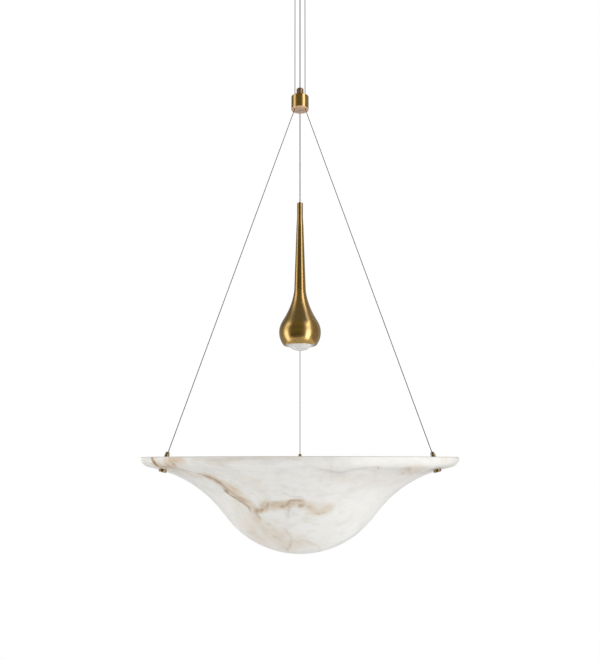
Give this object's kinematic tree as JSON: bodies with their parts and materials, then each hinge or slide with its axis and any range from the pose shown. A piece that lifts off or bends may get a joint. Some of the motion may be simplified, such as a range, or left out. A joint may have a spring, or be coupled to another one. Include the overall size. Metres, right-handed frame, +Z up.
{
  "type": "acrylic pendant light",
  "caption": "Pendant light: flared veined acrylic bowl on steel cables from a brass hub, with a brass teardrop spot hanging above it and a round ceiling canopy.",
  "frame": {"origin": "centre of the base plate's face against the ceiling", "axes": "+Z up into the ceiling along the lamp's axis, -Y towards the viewer of the picture, +X to the viewer's right"},
  "size_m": [0.5999, 0.6, 1.2089],
  "materials": {
    "veined_acrylic": "polished, cloudy white with tan veins",
    "satin_brass": "satin, brushed round the axis",
    "pale_brass": "satin, pale",
    "dark_brass": "polished, antique tone",
    "brown_bronze": "satin, browned",
    "steel_cable": "bright strands",
    "spring_steel": "bright",
    "zinc": "zinc plated",
    "cord_sleeve": "smooth grey sleeve",
    "wire_sleeve": "insulated wire",
    "white_case": "moulded",
    "terminal_plastic": "moulded",
    "clear_washer": "clear",
    "aluminium": "extruded",
    "led_board": "board with a phosphor disc",
    "reflector": "polished",
    "opal_dome": "opal, satin"
  },
  "bodies": {
    "ceiling": {"base_plate": "zinc", "gripper_bridge": "zinc", "bracket_screws": "zinc", "led_driver": "white_case", "terminal_block": "terminal_plastic", "driver_wires": "wire_sleeve", "gripper_left": "satin_brass", "gripper_right": "satin_brass", "gripper_back": "satin_brass", "gripper_nuts": "zinc", "gripper_spring_left": "spring_steel", "gripper_spring_right": "spring_steel", "gripper_spring_back": "spring_steel", "cable_tails": "steel_cable", "cord_gland": "satin_brass", "cord_tail": "cord_sleeve"},
    "plunger_left": {"plunger_left": "satin_brass", "gripper_balls_left": "spring_steel"},
    "plunger_right": {"plunger_right": "satin_brass", "gripper_balls_right": "spring_steel"},
    "plunger_back": {"plunger_back": "satin_brass", "gripper_balls_back": "spring_steel"},
    "canopy": {"canopy_cover": "satin_brass"},
    "canopy_screw_left": {"canopy_screw_left": "satin_brass"},
    "canopy_screw_right": {"canopy_screw_right": "satin_brass"},
    "suspension": {"upper_cable_left": "steel_cable", "upper_cable_right": "steel_cable", "upper_cable_back": "steel_cable", "upper_cord": "cord_sleeve"},
    "hub": {"hub_body": "satin_brass", "hub_base": "pale_brass", "hub_screws": "dark_brass", "hub_cables": "steel_cable", "hub_cord": "cord_sleeve", "cord_collet": "white_case", "cord_bush": "cord_sleeve"},
    "cord_knob": {"cord_knob": "brown_bronze"},
    "bowl": {"lower_cable_left": "steel_cable", "lower_cable_right": "steel_cable", "lower_cable_back": "steel_cable", "bowl_shell": "veined_acrylic", "rim_socket_left": "dark_brass", "rim_socket_right": "dark_brass", "rim_socket_back": "dark_brass", "rim_washers": "clear_washer", "cable_ends": "spring_steel"},
    "rim_nut_left": {"rim_nut_left": "dark_brass"},
    "rim_nut_right": {"rim_nut_right": "dark_brass"},
    "rim_nut_back": {"rim_nut_back": "dark_brass"},
    "drop_cord": {"lower_cord": "cord_sleeve"},
    "ferrule": {"cord_ferrule": "dark_brass"},
    "stem": {"drop_stem": "satin_brass", "stem_cord": "cord_sleeve"},
    "drop_head": {"drop_shell": "satin_brass", "heat_sink": "aluminium", "led_module": "led_board", "reflector": "reflector", "lens": "opal_dome"},
    "lens_ring": {"lens_ring": "white_case"}
  },
  "joints": [
    {"name": "canopy_slide", "type": "slide", "parent": "ceiling", "child": "canopy", "axis": [0, 0, -1], "range_m": [0, 0.09]},
    {"name": "canopy_screw_left_out", "type": "slide", "parent": "canopy", "child": "canopy_screw_left", "axis": [-1, 0, 0], "range_m": [0, 0.005]},
    {"name": "canopy_screw_right_out", "type": "slide", "parent": "canopy", "child": "canopy_screw_right", "axis": [1, 0, 0], "range_m": [0, 0.005]},
    {"name": "gripper_left_release", "type": "slide", "parent": "ceiling", "child": "plunger_left", "axis": [0, 0, 1], "range_m": [0, 0.0025], "stiffness_N_per_m": 500, "springref_m": -0.004, "deforming": ["gripper_spring_left"]},
    {"name": "gripper_right_release", "type": "slide", "parent": "ceiling", "child": "plunger_right", "axis": [0, 0, 1], "range_m": [0, 0.0025], "stiffness_N_per_m": 500, "springref_m": -0.004, "deforming": ["gripper_spring_right"]},
    {"name": "gripper_back_release", "type": "slide", "parent": "ceiling", "child": "plunger_back", "axis": [0, 0, 1], "range_m": [0, 0.0025], "stiffness_N_per_m": 500, "springref_m": -0.004, "deforming": ["gripper_spring_back"]},
    {"name": "lamp_swing", "type": "hinge", "parent": "ceiling", "child": "suspension", "pos_m": [0, 0, -0.048], "axis": [0, 1, 0], "range_deg": [-5, 5]},
    {"name": "lamp_height", "type": "slide", "parent": "suspension", "child": "hub", "axis": [0, 0, 1], "range_m": [0, 0.12], "deforming": ["upper_cable_left", "upper_cable_right", "upper_cable_back", "upper_cord"]},
    {"name": "cord_knob_turn", "type": "hinge", "parent": "hub", "child": "cord_knob", "pos_m": [0, 0, -0.29], "axis": [0, 0, 1], "range_deg": [0, 360]},
    {"name": "bowl_swing", "type": "hinge", "parent": "hub", "child": "bowl", "pos_m": [0, 0, -0.326], "axis": [1, 0, 0], "range_deg": [-4, 4]},
    {"name": "rim_nut_left_turn", "type": "hinge", "parent": "bowl", "child": "rim_nut_left", "pos_m": [-0.23902, -0.138, -1.05059], "axis": [0.2241, 0.1294, 0.9659], "range_deg": [0, 360]},
    {"name": "rim_nut_right_turn", "type": "hinge", "parent": "bowl", "child": "rim_nut_right", "pos_m": [0.23902, -0.138, -1.05059], "axis": [-0.2241, 0.1294, 0.9659], "range_deg": [0, 360]},
    {"name": "rim_nut_back_turn", "type": "hinge", "parent": "bowl", "child": "rim_nut_back", "pos_m": [0, 0.276, -1.05059], "axis": [0, -0.2588, 0.9659], "range_deg": [0, 360]},
    {"name": "drop_swing", "type": "hinge", "parent": "hub", "child": "drop_cord", "pos_m": [0, 0, -0.327], "axis": [1, 0, 0], "range_deg": [-8, 8]},
    {"name": "drop_height", "type": "slide", "parent": "drop_cord", "child": "ferrule", "axis": [0, 0, 1], "range_m": [0, 0.1], "deforming": ["lower_cord"]},
    {"name": "drop_tilt", "type": "hinge", "parent": "ferrule", "child": "stem", "pos_m": [0, 0, -0.5276], "axis": [0, 1, 0], "range_deg": [-8, 8]},
    {"name": "drop_head_turn", "type": "hinge", "parent": "stem", "child": "drop_head", "pos_m": [0, 0, -0.703], "axis": [0, 0, 1], "range_deg": [0, 360]},
    {"name": "lens_ring_turn", "type": "hinge", "parent": "drop_head", "child": "lens_ring", "pos_m": [0, 0, -0.813], "axis": [0, 0, 1], "range_deg": [0, 60]}
  ]
}
